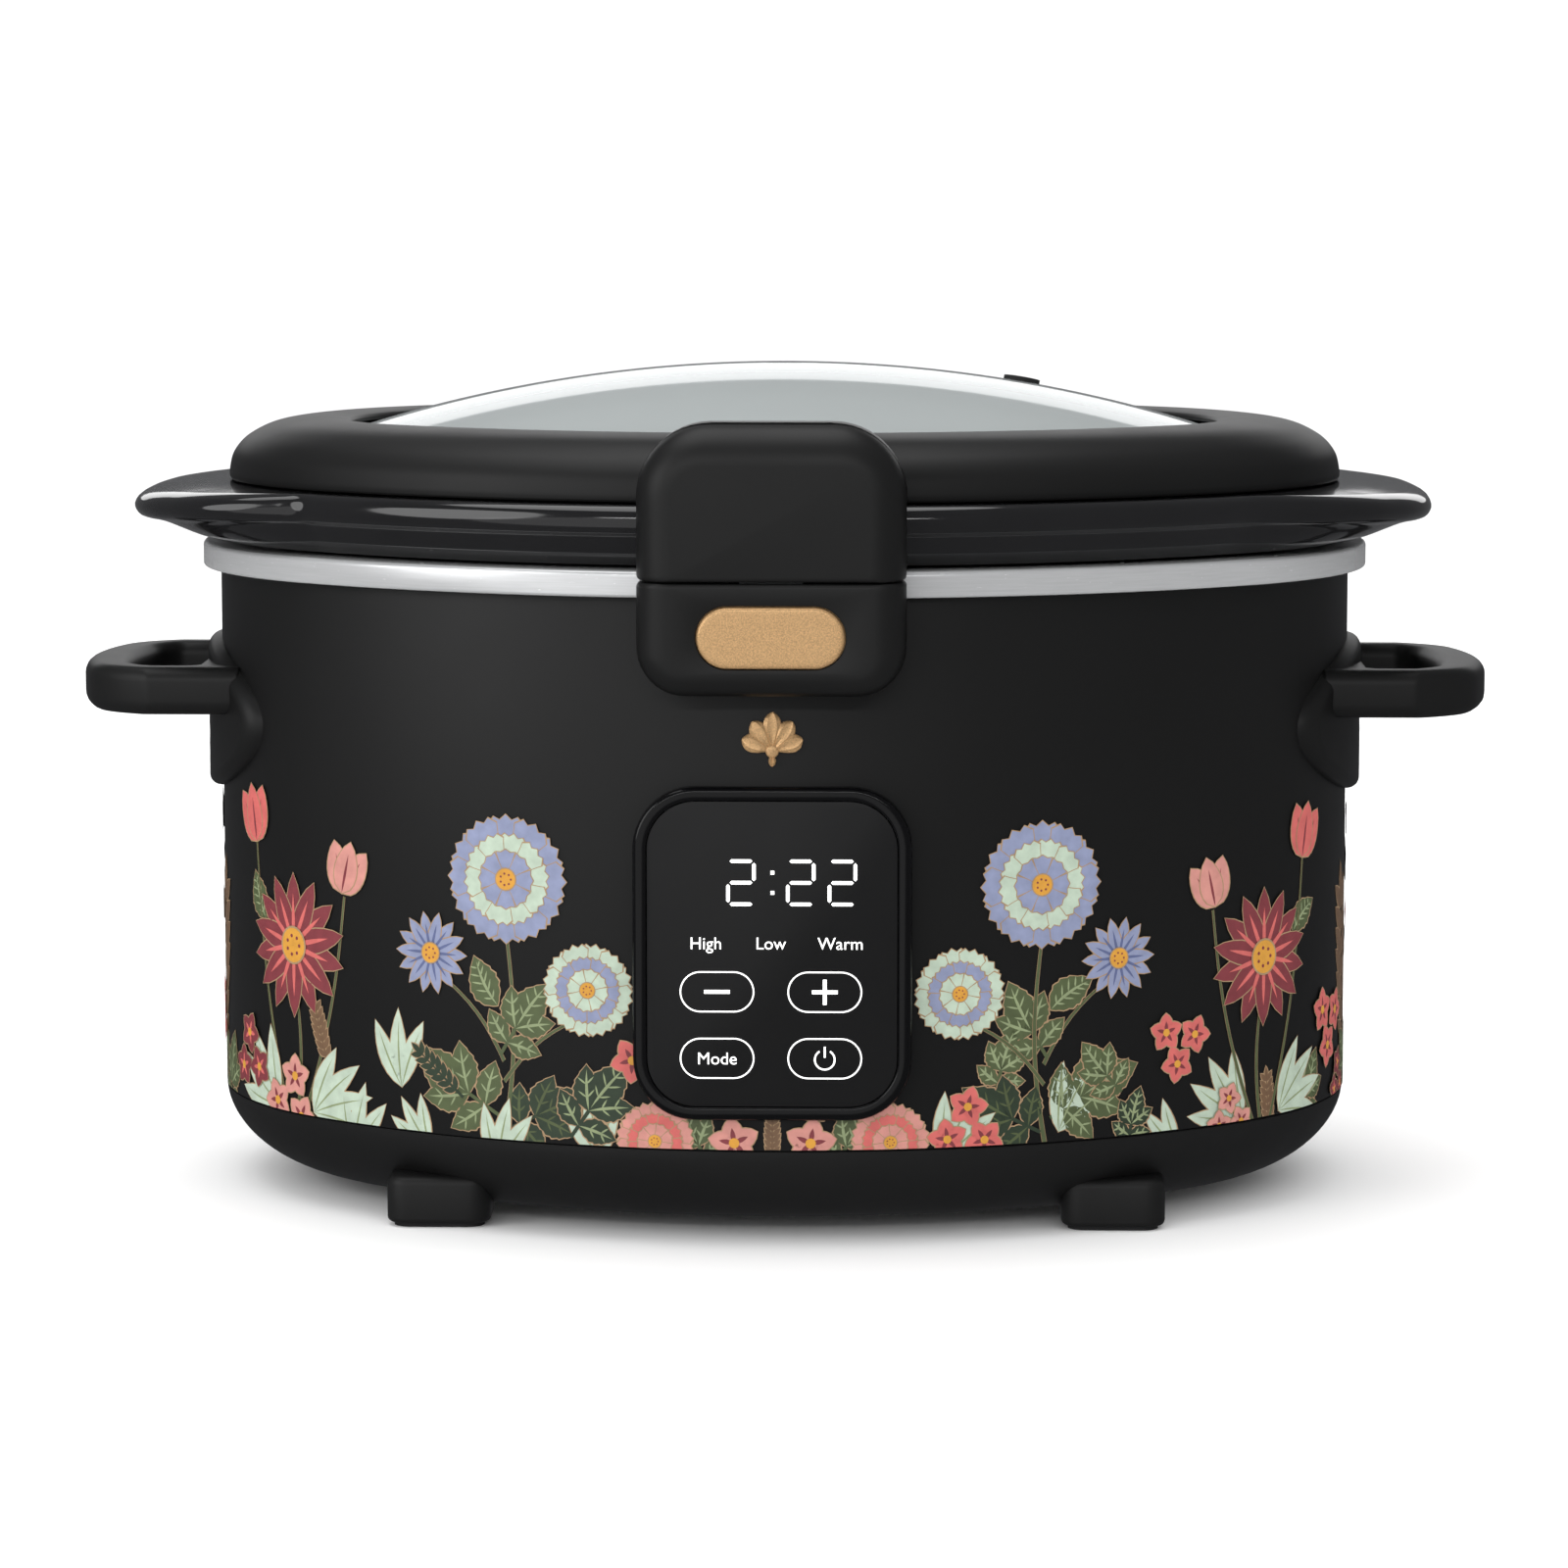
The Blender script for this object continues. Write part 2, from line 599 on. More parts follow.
def glass_dome():
    edge = oval_ring(-36.6, 0)
    thick = 4.0
    shares = list(np.linspace(1, 0.06, 34))

    def ring(t, depth):
        return [(t * x, t * y, dome_z(t * x, t * y, depth)) for x, y, _ in edge]

    rings = [ring(t, 0) for t in shares[::-1]]
    rings += [[(x * 1.001, y * 1.001, dome_z(x, y, thick / 2)) for x, y, _ in edge]]
    rings += [ring(t, thick) for t in shares]
    dome = make_mesh("glass_dome", [loft(rings)], crisp=60)
    return dress(dome, "glass", "lid", ["lid_glass"])


# ---- Clasp: hood on the lid, latch housing and button on the wall ----

DEPTHS = [0, 0.08, 0.25, 0.55, 1.0, 1.6, 2.4, 3.4, 4.7, 6.2, 8.0, 10.0, 12.0]


def clasp_hood():
    """A pillowed hood that laps over the lid's front and hangs past the rim."""
    front, low, high = HOOD_LOW[1], HOOD_LOW[2], HOOD_HIGH[2]
    half_w = middle_half(HOOD_LOW, HOOD_HIGH)[1][0]
    back, apron_back = -HALF_D + 34, -HALF_D - 8

    def ring(y, side, top, bottom, z_low, drop=0.0):
        outline = rect_ring(half_w - side, z_low + bottom, high - top, 1.5, max(21 - top, 9), 8, 12)
        return [(x, y, z - drop) for x, z in outline]

    rings = []
    for depth in DEPTHS:
        insets = [fillet_inset(depth, r) for r in (10, 12, 1.3)]
        rings.append(ring(front + depth + 0.35 * smoothstep(depth / 12), *insets, low))
    saddle = LID_LOW[2] + 1
    rings += [ring(apron_back, 0, 0, 0, low), ring(apron_back + 0.01, 0, 0, 0, saddle)]
    for share in np.linspace(0.1, 1, 12):
        y = apron_back + (back - apron_back) * share
        drop = (high - LID_HIGH[2] + 0.5) * smoothstep((y + 126) / 34)
        rings.append(ring(y, 0, 0, 0, saddle + 3 * smoothstep((share - 0.2) / 0.2), drop))
    hood = make_mesh("clasp_hood", [loft(rings)])
    tongue = box_mm("strike_plate")[1]
    cavity = block("cavity", [-26, front + 3, low - 3], [26, tongue[1] + 0.02, tongue[2] + 0.02])
    return dress(cut(hood, cavity), "black_plastic", "lid", ["lid_clasp"])


def key_outline(y, grow):
    """The gold button's pill outline at a depth y, grown all round."""
    h = KEY_HALF_H + grow
    outline = rect_ring(KEY_HALF_W + grow, -h, h, h - 0.02, h - 0.02, 8, 12)
    return [(x, y, BUTTON_Z + z) for x, z in outline]


def latch_housing():
    """The latch's shell, with the button's opening in front and the tongue's slot on top."""
    front, low, high = LATCH_LOW[1], LATCH_LOW[2], LATCH_HIGH[2]
    half_w = middle_half(LATCH_LOW, LATCH_HIGH)[1][0]
    back = -HALF_D + 4.5

    def ring(y, side, top, bottom):
        return facing(y, rect_ring(half_w - side, low + bottom, high - top, max(14 - side, 5), 1.5, 8, 12))

    rings = [ring(back, 0, 0, 0)]
    rings += [ring(front + depth, *(fillet_inset(depth, r) for r in (9, 1.3, 6.5))) for depth in DEPTHS[::-1]]
    rings += [key_outline(front + y, grow) for y, grow in ((0, 0.75), (0.12, 0.47), (0.4, 0.35), (2, 0.35))]
    inner = [ring(front + 2, 4, 3, 4), ring(back, 4, 3, 4)]
    shell = make_mesh("latch_shell", [loft(rings + inner, closed=True)])
    slot = block("slot", [-12, front + 2, high - 6], [12, front + 9.4, high + 4])
    return dress(cut(shell, slot), "black_plastic", replaces=["latch_housing"])


def release_button():
    front = BUTTON_LOW[1]
    rings = [key_outline(BUTTON_HIGH[1], 1.5), key_outline(front + 3.2, 1.5), key_outline(front + 3.19, 0)]
    rings += [key_outline(front + 1.0 - sin(a), cos(a) - 1) for a in quarter(7)]
    rings += [key_outline(front - 0.02, -2.2), key_outline(front, -5)]
    return dress(make_mesh("release_key", [loft(rings)]), "gold", "button", ["release_button"])


# ---- Badge ----

def badge_leaf(angle, reach, width, base, face):
    """A raised leaf with a folded midrib, standing on its root."""
    rings = []
    for t in np.linspace(0.02, 1, 14):
        half = width / 2 * sin(pi * min(t**1.7, 0.985)) ** 0.6
        row = []
        for v, lift in ((-1, 0), (-0.92, 0.55), (-0.5, 0.95), (0, 0.7), (0.5, 0.95), (0.92, 0.55), (1, 0)):
            x, z = v * half, t * reach
            y = mix(base, face, lift * sin(pi * min(0.97, max(0.06, t))) ** 0.3)
            row.append((x * cos(angle) + z * sin(angle), y,
                        z * cos(angle) - x * sin(angle)))
        row += [(row[-1][0], base + 0.6, row[-1][2]), (row[0][0], base + 0.6, row[0][2])]
        rings.append(row)
    return loft(rings)


def badge():
    """A plain bud of five broad petals on a short stalk."""
    low, high = box_mm("emblem_badge")
    root_z = low[2] + 4.4
    face, base = low[1], -HALF_D - 0.3
    shells = []
    for lean in (-68, -34, 0, 34, 68):
        shells.append(badge_leaf(radians(lean), 11.2 - abs(lean) / 36, 5.4, base, face))
    shells.append(badge_leaf(pi, 4.4, 2.2, base, face))
    shells = [([(x, y, z + root_z) for x, y, z in points], faces) for points, faces in shells]
    steps = ((1.9, base + 0.6), (1.9, base - 0.7), (1.7, face + 0.35), (1.2, face + 0.1), (0.4, face))
    ball = [facing(y, circle(0, root_z, r, 32)) for r, y in steps]
    return dress(make_mesh("emblem_sprig", shells + [loft(ball)]), "gold", replaces=["emblem_badge"])


# ---- Control panel ----

def panel_outline(low, high, y, inset, r):
    """A rounded rectangle at a depth y, inset from a box's front outline."""
    half_w = middle_half(low, high)[1][0]
    return facing(y, rect_ring(half_w - inset, low[2] + inset, high[2] - inset, r, r, 8, 14))


def bezel():
    front = BEZEL_LOW[1]
    outer_r, inner_r, face = 1.6, 0.9, 4

    def ring(y, inset):
        return panel_outline(BEZEL_LOW, BEZEL_HIGH, y, inset, max(18 - inset, 1))

    back = -HALF_D + 6
    rings = [ring(back, 0)] + [ring(front + outer_r * (1 - sin(a)), outer_r * (1 - cos(a))) for a in quarter(8)]
    rings += [ring(front + inner_r * (1 - cos(a)), face - inner_r * (1 - sin(a))) for a in quarter(5)]
    rings += [ring(front + 2.4, face), ring(front + 2.5, face + 1.5), ring(back, face + 1.5)]
    piece = make_mesh("panel_bezel", [loft(rings, closed=True)])
    return dress(piece, "gloss_black", replaces=["control_bezel"])


def touch_face():
    low, high = box_mm("touch_panel")
    steps = ((high[1], 0), (low[1] + 0.2, 0), (low[1] + 0.05, 0.08), (low[1], 0.25))
    rings = [panel_outline(low, high, y, inset, 13.9 - inset) for y, inset in steps]
    smoked = finish("smoked_panel", rgb("#131314"), 0.05, 30, (0.36, 0.44), 5000, 0.002,
                    Specular_IOR_Level=0.32)
    piece = make_mesh("touch_face", [loft(rings)])
    return dress(piece, "gloss_black", replaces=["touch_panel"], material=smoked)


GLOW_Y = TOUCH_Y - 0.04


def plate(outline):
    return facing(GLOW_Y, outline), [tuple(range(len(outline)))]


def pill_key(cx, cz, half_w=10.7, half_h=5.95, line=0.42):
    """The lit outline of a pill-shaped key."""
    def ring(i):
        r = half_h - i - 0.02
        return [(cx + x, cz + z) for x, z in rect_ring(half_w - i, i - half_h, half_h - i, r, r, 4, 12)]

    outer, inner = ring(0), ring(line)
    n = len(outer)
    return facing(GLOW_Y, outer + inner), [(j, (j + 1) % n, n + (j + 1) % n, n + j) for j in range(n)]


def bar(cx, cz, half_w, half_h):
    return plate([(cx + sx * half_w, cz + sz * half_h) for sx, sz in ((-1, -1), (1, -1), (1, 1), (-1, 1))])


def arc_band(cx, cz, r, line, start, stop):
    angles = np.radians(np.linspace(start, stop, 40))
    n = len(angles)
    out = [polar(cx, cz, r, a) for a in angles] + [polar(cx, cz, r - line, a) for a in angles[::-1]]
    return facing(GLOW_Y, out), [(j, j + 1, 2 * n - 2 - j, 2 * n - 1 - j) for j in range(n - 1)]


def segment(x0, z0, x1, z1, half=0.52):
    """One bar of a seven-segment digit, with pointed ends."""
    a, b = np.array([x0, z0]), np.array([x1, z1])
    along = (b - a) / np.linalg.norm(b - a)
    side = np.array([-along[1], along[0]]) * half
    tip = along * half
    return plate([tuple(p) for p in (a, a + tip - side, b - tip - side, b, b - tip + side, a + tip + side)])


def figure_two(cx, cz, half_w=3.7, half_h=6.2, gap=0.45):
    """A seven-segment figure 2."""
    left, right, top, low = cx - half_w, cx + half_w, cz + half_h, cz - half_h
    bars = [(left + gap, z, right - gap, z) for z in (top, cz, low)]
    bars += [(left, low + gap, left, cz - gap), (right, cz + gap, right, top - gap)]
    return [segment(*ends) for ends in bars]


def words(text, cx, cz, cap):
    """A short function word in the built-in plain font, turned into flat faces."""
    curve = bpy.data.curves.new("word", "FONT")
    curve.body = text
    curve.size = cap / 0.7
    curve.align_x = "CENTER"
    curve.resolution_u = 4
    obj = link(bpy.data.objects.new("word", curve))
    mesh = evaluated(obj)
    points = [(v.co.x + cx, GLOW_Y, v.co.y + cz - cap / 2) for v in mesh.vertices]
    faces = [tuple(p.vertices) for p in mesh.polygons]
    bpy.data.objects.remove(obj)
    return points, faces


def panel_legends():
    """Glowing digits, function words and key outlines."""
    left, right = -15.8, 15.1
    clock_z, words_z, upper_z, lower_z = (PANEL_Z + dz for dz in (20.8, 3.3, -10.8, -30.1))
    shapes = [shape for x in (-8.9, 8.2, 20.1) for shape in figure_two(x, clock_z)]
    shapes += [bar(0.1, clock_z + s * 2.9, 0.55, 0.55) for s in (-1, 1)]
    shapes += [words(text, x, words_z, 3.5) for text, x in (("High", -19.0), ("Low", -0.4), ("Warm", 19.6))]
    shapes += [pill_key(x, z) for z in (upper_z, lower_z) for x in (left, right)]
    shapes += [bar(x, upper_z, 3.7, 0.55) for x in (left, right)]
    shapes += [bar(right, upper_z + s * 2.1, 0.55, 1.55) for s in (-1, 1)]
    shapes += [words("Mode", left, lower_z, 3.5), arc_band(right, lower_z - 0.3, 3.1, 0.5, 122, 418),
               bar(right, lower_z + 1.9, 0.27, 1.6)]
    glow = finish("white_glow", rgb("#f4f4f2"), 0.03, 200, (0.4, 0.5), 800, 0.001,
                  Emission_Color=(1, 1, 1, 1), Emission_Strength=0.95)
    return dress(make_mesh("panel_legends", shapes), "gloss_black", material=glow)


# ---- Printed flowers on the wall ----

HALF_FRONT = SIDE_R * (pi / 2 - MEET)
HALF_LAP = 2 * HALF_FRONT + 2 * MEET * END_R


def wall_point(s, u):
    """The point at an arc length s from the front's middle and a distance u off the wall."""
    side = 1 if s >= 0 else -1
    s = min(abs(s), 2 * HALF_LAP - abs(s))
    if s <= HALF_FRONT:
        a = s / SIDE_R
        x, y = polar(0, SIDE_Y, SIDE_R + u, a - pi / 2)
    elif s <= HALF_LAP - HALF_FRONT:
        a = (s - HALF_FRONT) / END_R - MEET
        x, y = polar(END_X, 0, END_R + u, a)
    else:
        a = (HALF_LAP - s) / SIDE_R
        x, y = polar(0, -SIDE_Y, SIDE_R + u, pi / 2 - a)
    return side * x, y


LEAF_SHEETS = 5
SHEET_GAP = 0.022
SPRAY_ROOT = 28


class Print:
    """Collects flat patches of (arc length, height) points for each ink."""

    inks = {}
    taken = []
    sheet = 0

    @classmethod
    def next_sheet(cls):
        """The lowest layer of the next leaf or stalk. Neighbours differ, and all lie below the flowers."""
        cls.sheet = (cls.sheet + 1) % LEAF_SHEETS
        return 3 * cls.sheet - 3 * LEAF_SHEETS

    @classmethod
    def add(cls, ink, layer, grid):
        points, faces = cls.inks.setdefault(ink, ([], []))
        start, cols = len(points), len(grid[0])
        points += [(s, z, layer) for row in grid for s, z in row]
        faces += [(start + r * cols + c, start + r * cols + c + 1, start + (r + 1) * cols + c + 1,
                   start + (r + 1) * cols + c) for r in range(len(grid) - 1) for c in range(cols - 1)]


def round_shape(t):
    return max(sin(pi * t ** 0.8), 0.0) ** 0.7


def blade_shape(t):
    return max(sin(pi * t ** 0.9), 0.0) ** 0.9


def fan_shape(t):
    return 0.16 + 0.84 * t ** 1.1


def leaf_shape(t):
    return max(sin(pi * t ** 0.85), 0.0) * (1 + 0.2 * (1 - (6 * t) % 1.0))


def beyond(root, angle, reach):
    """The point a distance from root. Angle 0 points up."""
    return root[0] + reach * sin(angle), root[1] + reach * cos(angle)


def petal(ink, layer, root, angle, length, width, shape, bend=0.0, ruffle=0.0, rows=8, cols=5):
    """A petal or leaf from its root."""
    grid = []
    for t in np.linspace(0, 1, rows):
        row = []
        for v in np.linspace(-1, 1, cols):
            waves = ruffle * (cos(pi * v * (cols - 1) / 2) * t**4 - 2.4 * v * v * t)
            turn = angle + bend * t
            middle = beyond(root, turn, t * length * (1 + waves))
            row.append(beyond(middle, turn + pi / 2, v * width / 2 * shape(t)))
        grid.append(row)
    Print.add(ink, layer, grid)


def inked_petal(fill, layer, root, angle, length, width, shape, **more):
    """A petal with a thin outline showing round it."""
    edge = 0.32
    back = beyond(root, angle, -edge)
    petal("tan_line", layer, back, angle, length + 2 * edge, width + 2.4 * edge, shape, **more)
    petal(fill, layer + 1, root, angle, length, width, shape, **more)


def disc(ink, layer, centre, r, shares=(0.02, 0.5, 1.0), points=21):
    Print.add(ink, layer, [[polar(*centre, k * r, a) for a in np.linspace(0, 2 * pi, points)] for k in shares])


def stem(start, end, sway, width):
    """A curved stalk that thins towards the flower."""
    a, b = np.array(start, float), np.array(end, float)
    length = np.linalg.norm(b - a)
    side = np.array([-(b - a)[1], (b - a)[0]]) / length
    under = Print.next_sheet()
    for layer, ink, extra in ((under, "tan_line", 0.22), (under + 1, "olive", 0.0)):
        grid = []
        for t in np.linspace(0, 1, max(4, int(length / 3.5))):
            here = a + (b - a) * t + side * sway * sin(pi * t) * 0.6
            half = (width * (1 - 0.4 * t) + extra) / 2
            grid.append([tuple(here - side * half), tuple(here + side * half)])
        Print.add(ink, layer, grid)


def toothed_leaf(root, angle, length, ink="olive", rib="sage", bend=0.25, veins=5, under=None):
    """A serrated leaf with a pale midrib and side veins."""
    under = Print.next_sheet() if under is None else under
    inked_petal(ink, under, root, angle, length, 0.52 * length, leaf_shape, bend=bend, rows=19, cols=5)
    petal(rib, under + 2, root, angle, length * 0.9, 0.9, blade_shape, bend=bend, rows=7, cols=2)
    for k in range(1, veins + 1):
        t = k / (veins + 1.5)
        turn = angle + bend * t
        reach = length * 0.24 * sin(pi * t ** 0.8) + 0.4
        for side in (-1, 1):
            petal(rib, under + 2, beyond(root, turn, t * length), turn + side * 0.85, reach, 0.6, blade_shape,
                  rows=4, cols=2)


def lobed_leaf(root, angle, length, ink="olive", rib="sage"):
    """A leaf of five jagged lobes on one stalk."""
    under = Print.next_sheet()
    petal(ink, under + 1, root, angle, length * 0.55, 1.1, lambda t: 1.0, rows=5, cols=2)
    for t, lean, size in ((0.16, 1.2, 0.44), (0.16, -1.2, 0.44), (0.36, 0.75, 0.5), (0.36, -0.75, 0.5)):
        toothed_leaf(beyond(root, angle, t * length), angle + lean, length * size, ink, rib, 0.1, 2, under)
    toothed_leaf(beyond(root, angle, 0.4 * length), angle, length * 0.64, ink, rib, 0.1, 3, under)


def slim_leaves(root, angle, length, count):
    """A hand of long pale leaves."""
    under = Print.next_sheet()
    for k in range(count):
        place = k - (count - 1) / 2
        turn, reach = angle + 0.42 * place, length * (1 - 0.08 * abs(place))
        inked_petal("mint", under, root, turn, reach, 0.25 * length, blade_shape, bend=0.12, rows=8, cols=4)
        petal("sage", under + 2, root, turn, reach * 0.85, 0.6, blade_shape, bend=0.12, rows=6, cols=2)


def frond(root, angle, length, ink="bark"):
    """A feathery sprig of small paired leaflets."""
    under, pairs = Print.next_sheet(), 7
    petal(ink, under + 1, root, angle, length, 1.0, lambda t: 1 - 0.7 * t, rows=9, cols=2)
    leaflets = []
    for k in range(pairs):
        t = 0.14 + 0.8 * k / pairs
        size = length * (0.24 - 0.12 * abs(t - 0.45))
        leaflets += [(t, side * 0.75, size, size * 0.42) for side in (-1, 1)]
    for t, lean, size, width in leaflets + [(0.86, 0, length * 0.2, length * 0.08)]:
        inked_petal(ink, under, beyond(root, angle, t * length), angle + lean, size, width, blade_shape,
                    rows=6, cols=3)


def flower_round(fill, layer, centre, r, turn, count, plump, shape, ruffle=0.0, cols=7):
    """One round of petals, every second one lying over its neighbours."""
    for k in range(count):
        inked_petal(fill, layer + 1.5 * (k % 2), centre, turn + 2 * pi * k / count, r, r * plump, shape,
                    ruffle=ruffle, rows=7, cols=cols)


def flower_eye(centre, r):
    disc("tan_line", 16, centre, r * 1.12)
    disc("mustard", 17, centre, r)
    for k in range(7):
        disc("burgundy", 18, polar(*centre, r * 0.55, 2 * pi * k / 7), r * 0.11, (0.02, 1.0), 9)


def pompom(centre, r, turn, outer, inner):
    """A round flower of three rounds of petals."""
    Print.taken.append((centre, r))
    flower_round(outer, 4, centre, r, turn, 12, 0.62, fan_shape, 0.04)
    flower_round(inner, 8, centre, r * 0.72, turn + 0.2, 10, 0.66, fan_shape, 0.04)
    flower_round(outer, 12, centre, r * 0.46, turn, 8, 0.7, fan_shape, 0.04, 5)
    flower_eye(centre, r * 0.17)


def daisy(centre, r, turn, fill, heart):
    """A flat flower of long petals, each with a stripe."""
    Print.taken.append((centre, r))
    flower_round(fill, 4, centre, r, turn, 14, 0.34, round_shape, cols=5)
    for k in range(14):
        petal(heart, 8, centre, turn + pi * k / 7, r * 0.72, r * 0.07, blade_shape, rows=6, cols=3)
    flower_eye(centre, r * 0.24)


def small_blossom(centre, r, turn, fill="dusty_pink", throat="burgundy"):
    """A five-petalled blossom."""
    Print.taken.append((centre, r))
    for k in range(5):
        a = turn + 2 * pi * k / 5
        inked_petal(fill, 6, centre, a, r, r * 0.78, round_shape, rows=7, cols=4)
        petal(throat, 8, centre, a, r * 0.6, r * 0.2, blade_shape, rows=5, cols=3)
    disc("mustard", 9, centre, r * 0.2)


def tulip(centre, r, tilt, fill="coral", stripe="burgundy"):
    """A closed cup of three petals."""
    Print.taken.append((centre, r))
    root = beyond(centre, tilt, -0.8 * r)
    for layer, lean in ((4, -0.42), (4, 0.42), (6.5, 0)):
        inked_petal(fill, layer, root, tilt + lean, 1.7 * r, 0.95 * r, round_shape, rows=9, cols=5)
        petal(stripe, layer + 2, root, tilt + lean, 1.3 * r, 0.1 * r, blade_shape, rows=6, cols=3)


class Spray:
    """Places flowers about a point on the seam, mirrored where flip is -1."""

    def __init__(self, s, flip, grow):
        self.s, self.flip, self.grow = s, flip, grow

    def at(self, x, z):
        return self.s + self.flip * self.grow * x, SPRAY_ROOT + self.grow * z

    def stem(self, start, end, sway, width=1.1):
        stem(self.at(*start), self.at(*end), sway * self.flip, width)

    def leaf(self, kind, x, z, lean, length, *inks):
        kind(self.at(x, z), lean * self.flip, length * self.grow, *inks)

    def flower(self, kind, x, z, r, *inks):
        kind(self.at(x, z), r * self.grow, 0.1 * x * self.flip / r, *inks)


def pompom_spray(spray):
    spray.stem((2, -3), (0, 60), 5, 1.4)
    spray.stem((1, 18), (-23, 38), -4)
    spray.stem((1, 24), (22, 48), 4)
    spray.flower(pompom, 0, 77, 18, "lavender", "mint")
    spray.flower(pompom, -25, 46, 13, "mint", "lavender")
    spray.flower(daisy, 25, 54, 12, "lavender", "slate")
    spray.leaf(lobed_leaf, 2, 26, -0.55, 25)
    spray.leaf(lobed_leaf, 3, 8, 1.05, 31)
    spray.leaf(lobed_leaf, 0, 4, -1.1, 27, "forest", "olive")
    spray.leaf(toothed_leaf, 3, 40, 0.75, 16)


def daisy_spray(spray):
    spray.stem((0, -3), (0, 40), 4, 1.3)
    spray.stem((3, -2), (20, 78), -5)
    spray.stem((-3, -2), (-21, 66), 5)
    spray.flower(daisy, 0, 50, 21, "burgundy", "coral")
    spray.flower(tulip, 21, 86, 10)
    spray.flower(tulip, -22, 74, 9, "dusty_pink")
    spray.leaf(slim_leaves, 8, 2, 0.95, 27, 4)
    spray.leaf(slim_leaves, -8, 2, -0.95, 25, 4)
    spray.leaf(toothed_leaf, 15, 56, 0.7, 15)


def blossom_spray(spray):
    spray.leaf(frond, -14, 6, -0.15, 62)
    spray.leaf(frond, 16, 2, 0.3, 34, "forest")
    for x, z, r in ((-6, 82, 7), (2, 68, 7.6), (-9, 54, 6.4), (4, 44, 6.8), (-8, 94, 5.6)):
        spray.flower(small_blossom, x, z, r, *(("burgundy", "coral") if x < -5 else ("coral", "burgundy")))
    spray.stem((0, -2), (-1, 84), 3, 0.9)
    spray.flower(pompom, 17, 26, 13, "dusty_pink", "coral")
    spray.leaf(lobed_leaf, -4, 2, -0.9, 25)


def low_spray(spray):
    """Flowers that stay low, under the control panel."""
    for side in (-1, 1):
        spray.flower(small_blossom, side * 11, 3, 7.5)
        spray.flower(pompom, side * 34, 3, 11, "dusty_pink", "coral")
        spray.leaf(lobed_leaf, side * 18, -4, side * 0.5, 19)
        spray.leaf(slim_leaves, side * 50, -3, side * 0.3, 22, 3)
    spray.leaf(frond, 0, -4, 0, 15)


def blossom_group(centre, r, chance):
    fill, throat = chance.choice((("dusty_pink", "burgundy"), ("coral", "burgundy"), ("burgundy", "coral")))
    turn = chance.uniform(0, 6)
    for k in range(3):
        a = turn + 2.1 * k
        small_blossom(polar(*centre, 0.55 * r, a), 0.52 * r, a, fill, throat)


def filler(spot, size, chance):
    """One small leaf or group of blossoms."""
    kind = chance.choice(("blossoms", "lobed", "slim", "frond", "lobed", "blossoms"))
    lean = chance.uniform(-0.9, 0.9)
    root = (spot[0], spot[1] - size)
    if kind == "blossoms":
        blossom_group(spot, size, chance)
    elif kind == "lobed":
        lobed_leaf(root, lean, 2.1 * size, chance.choice(("olive", "forest")))
    elif kind == "slim":
        slim_leaves(root, lean, 1.8 * size, 3)
    else:
        frond(root, lean, 2.4 * size, chance.choice(("bark", "forest")))
    Print.taken.append((spot, size))


def fillers(chance):
    """Fills the gaps low down, thinning out with height."""
    pitch = 9
    for step in range(int(2 * HALF_LAP / pitch)):
        for height in (34, 43, 52):
            spot = (-HALF_LAP + pitch * step + chance.uniform(-4, 4), height + chance.uniform(-3, 3))
            room = min(dist(spot, centre) - r for centre, r in Print.taken)
            if room >= 8 and chance.random() >= 0.3 + (height - 34) / 80:
                filler(spot, min(room, 13), chance)


INKS = {"lavender": "#8a92b2", "mint": "#b9cab6", "mustard": "#d8992c", "burgundy": "#84323a",
        "coral": "#d4645f", "dusty_pink": "#d18d82", "olive": "#535f39", "forest": "#30402c",
        "sage": "#8d9a70", "bark": "#76583d", "slate": "#5c6690", "tan_line": "#a98a66"}


def covered(face):
    """True for a printed face that lies wholly under the control panel."""
    half_w, low, high = 37, 42, 131
    return all(abs(v.co.x) < half_w and low < v.co.y < high for v in face.verts)


def print_ink(ink, points, faces):
    """One ink of the print: cut off at the seam, laid on the wall, a few hundredths of a mm proud."""
    bm = bmesh.new()
    made = [bm.verts.new(p) for p in points]
    for face in faces:
        bm.faces.new([made[i] for i in face])
    bmesh.ops.bisect_plane(bm, geom=bm.verts[:] + bm.edges[:] + bm.faces[:], plane_co=(0, SEAM + 0.5, 0),
                           plane_no=(0, 1, 0), clear_inner=True)
    bmesh.ops.delete(bm, geom=[f for f in bm.faces if covered(f)], context="FACES")
    bmesh.ops.dissolve_degenerate(bm, edges=bm.edges, dist=0.01)
    for v in bm.verts:
        s, z, layer = v.co
        x, y = wall_point(s, 0.05 + SHEET_GAP * (layer + 3 * LEAF_SHEETS))
        v.co = (MM * x, MM * y, MM * z)
    bm.normal_update()
    for face in bm.faces:
        face.smooth = True
        middle = face.calc_center_median()
        if face.normal.x * middle.x + face.normal.y * middle.y < 0:
            face.normal_flip()
    material = finish("ink_" + ink, scaled(rgb(INKS[ink]), 0.8), 0.1, 260, (0.42, 0.55), 3000, 0.01)
    return dress(settled("print_" + ink, bm), "printed_steel", material=material)


def flower_print():
    """A regular repeat of sprays all round the wall, mirrored about the control panel."""
    jitter = random.Random(7)
    low_spray(Spray(0, 1, 1))
    repeat = (blossom_spray, pompom_spray, daisy_spray)
    for place in range(1, 7):
        for side in (-1, 1) if place < 6 else (1,):
            repeat[place % 3](Spray(side * place * HALF_LAP / 6, side, jitter.uniform(0.98, 1.06)))
    fillers(jitter)
    for ink, (points, faces) in Print.inks.items():
        print_ink(ink, points, faces)


# ---- Camera, light and floor ----

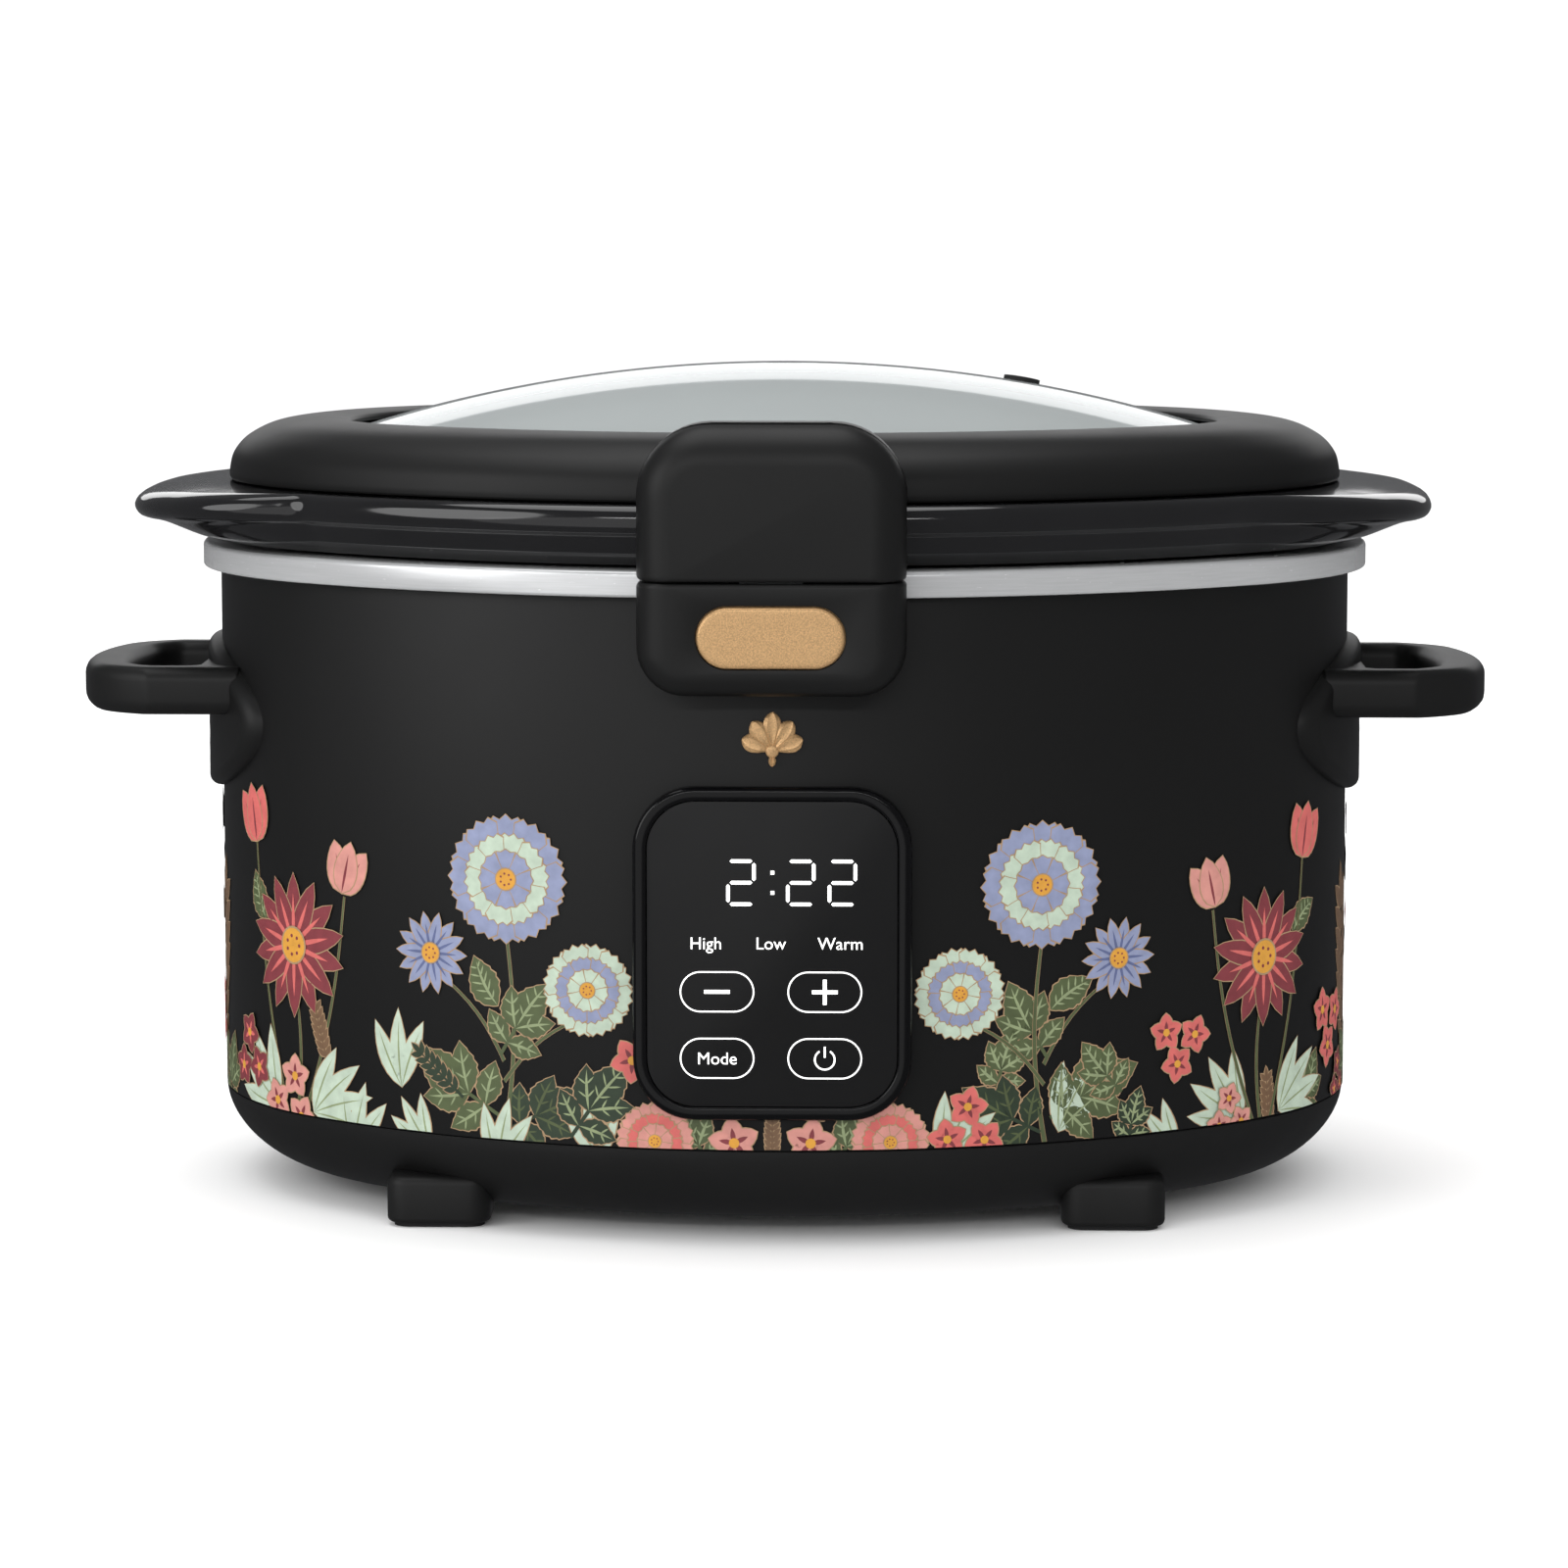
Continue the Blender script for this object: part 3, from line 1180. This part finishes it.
def aim(obj, direction):
    obj.rotation_mode = "QUATERNION"
    obj.rotation_quaternion = direction.to_track_quat("-Z", "Y")


def camera():
    """At the height and distance of the picture, a little to the right of the middle."""
    data = bpy.data.cameras.new("camera")
    data.sensor_width = 36
    data.lens = 125
    cam = link(bpy.data.objects.new("camera", data))
    pitch, turn, distance, height = radians(6.93), radians(1.5), 1.671, 0.3227
    cam.location = (sin(turn) * distance, -cos(turn) * distance, height)
    aim(cam, Vector((-sin(turn) * cos(pitch), cos(turn) * cos(pitch), -sin(pitch))))
    bpy.context.scene.camera = cam


def area_light(name, place, target, size, power):
    data = bpy.data.lights.new(name, "AREA")
    data.shape = "ELLIPSE"
    data.size, data.size_y = size
    data.energy = power
    lamp = link(bpy.data.objects.new(name, data))
    lamp.location = place
    aim(lamp, Vector(target) - Vector(place))


def studio():
    """White surroundings that look dim in mirror reflections, and five soft lights."""
    world = bpy.data.worlds.new("studio")
    bpy.context.scene.world = world
    world.use_nodes = True
    tree = world.node_tree
    tree.nodes.clear()
    out = tree.nodes.new("ShaderNodeOutputWorld")
    dim, bright = tree.nodes.new("ShaderNodeBackground"), tree.nodes.new("ShaderNodeBackground")
    dim.inputs["Color"].default_value = (0.95, 0.96, 1.0, 1)
    dim.inputs["Strength"].default_value = 0.12
    bright.inputs["Color"].default_value = (1, 1, 1, 1)
    bright.inputs["Strength"].default_value = 1.15
    path = tree.nodes.new("ShaderNodeLightPath")
    blend = tree.nodes.new("ShaderNodeMixShader")
    tree.links.new(path.outputs["Is Glossy Ray"], blend.inputs[0])
    tree.links.new(bright.outputs[0], blend.inputs[1])
    tree.links.new(dim.outputs[0], blend.inputs[2])
    tree.links.new(blend.outputs[0], out.inputs["Surface"])
    area_light("overhead", (-0.3, 0.1, 2.3), (0, 0, 0), (2.4, 1.8), 20)
    area_light("glint", (-0.1, -1.9, 0.85), (0, 0, 0.2), (2.0, 0.14), 5)
    area_light("key_left", (-1.9, -1.3, 0.9), (0, 0, 0.12), (1.3, 1.6), 12)
    area_light("card_front", (-0.95, -2.25, 0.1), (0, 0, 0.1), (2.6, 1.7), 5.5)
    area_light("rim_back", (0.0, 2.3, 0.9), (0, 0, 0.2), (3.2, 0.8), 9)
    bpy.context.scene.view_settings.view_transform = "Standard"


def floor():
    """A plain pale floor, left out of mirror reflections."""
    side = 12000
    corners = [(-side, -side, 0), (side, -side, 0), (side, side, 0), (-side, side, 0)]
    plane = make_mesh("floor", [(corners, [(0, 1, 2, 3)])])
    plane.data.materials.append(finish("paper_floor", (0.96, 0.96, 0.96, 1), 0.01, 2, (0.7, 0.8), 300, 0.02,
                                       Specular_IOR_Level=0.1))
    plane.visible_glossy = False


# ---- Build ----

camera()
studio()
floor()
dress_cad_nodes()
base_pan()
for corner in ("foot_front_left", "foot_front_right", "foot_rear_left", "foot_rear_right"):
    foot(corner)
wall()
trim_band()
handle("handle_left", -1)
handle("handle_right", 1)
crock()
lid_frame()
glass_dome()
clasp_hood()
latch_housing()
release_button()
badge()
bezel()
touch_face()
panel_legends()
return_spring()
flower_print()
for part, body in (("hinge_bracket", "base"), ("hinge_arm", "lid")):
    dress(softened(part + "_moulded", part, 0.7, 4), "black_plastic", body, [part])
